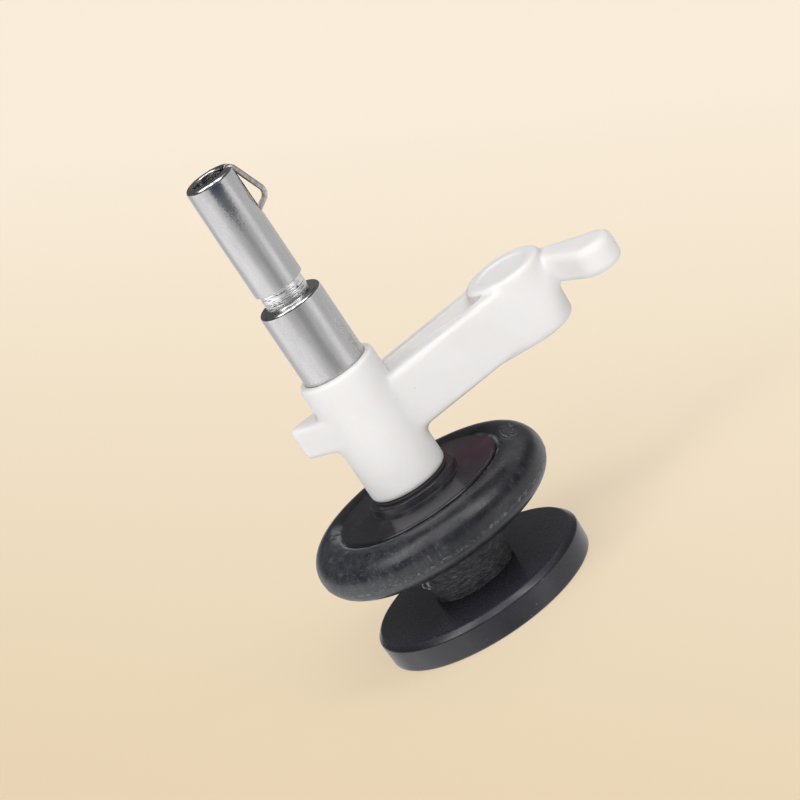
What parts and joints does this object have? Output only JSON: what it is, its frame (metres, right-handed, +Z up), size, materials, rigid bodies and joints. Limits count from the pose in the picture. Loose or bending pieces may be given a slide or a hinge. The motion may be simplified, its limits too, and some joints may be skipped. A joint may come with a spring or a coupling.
{
  "type": "sewing machine bobbin winder unit",
  "caption": "Bobbin winder: a plated spindle with a wire bobbin spring turns in a white plastic lever arm, driven by a hub with a rubber friction tyre above a spacer sleeve and a disc.",
  "frame": {"origin": "on the spindle's axis, at the underside of the bottom disc", "axes": "+Z up the spindle towards the bobbin end, +X from the spindle to the arm's pivot, +Y away from the arm's finger"},
  "size_m": [0.0469, 0.0292, 0.0586],
  "materials": {
    "white_plastic": "moulded white acetal, satin",
    "plated_steel": "satin plated steel with polished rims",
    "spring_wire": "drawn spring wire, dull",
    "washer_nylon": "natural nylon",
    "black_gloss": "moulded black plastic, semi-gloss",
    "black_rubber": "black rubber with a light bloom",
    "rough_black": "rough scratched black",
    "black_satin": "moulded black plastic, satin",
    "bright_steel": "stamped steel",
    "dark_spring_steel": "dark oxide"
  },
  "bodies": {
    "lever": {"lever_arm": "white_plastic", "upper_thrust_washer": "washer_nylon"},
    "rotor": {"spindle": "plated_steel", "lower_thrust_washer": "washer_nylon", "drive_hub": "black_gloss", "friction_tyre": "black_rubber", "spacer_sleeve": "rough_black", "bottom_disc": "black_satin", "disc_washer": "bright_steel", "retaining_clip": "dark_spring_steel"},
    "spring": {"bobbin_spring": "spring_wire"}
  },
  "joints": [
    {"name": "spindle_spin", "type": "hinge", "parent": "lever", "child": "rotor", "pos_m": [0, 0, 0.025], "axis": [0, 0, 1], "continuous": true},
    {"name": "spring_flex", "type": "hinge", "parent": "rotor", "child": "spring", "pos_m": [0.00091, -0.00026, 0.0461], "axis": [-0.2756, -0.9613, 0], "range_deg": [0, 13], "stiffness_Nm_per_rad": 0.05}
  ]
}
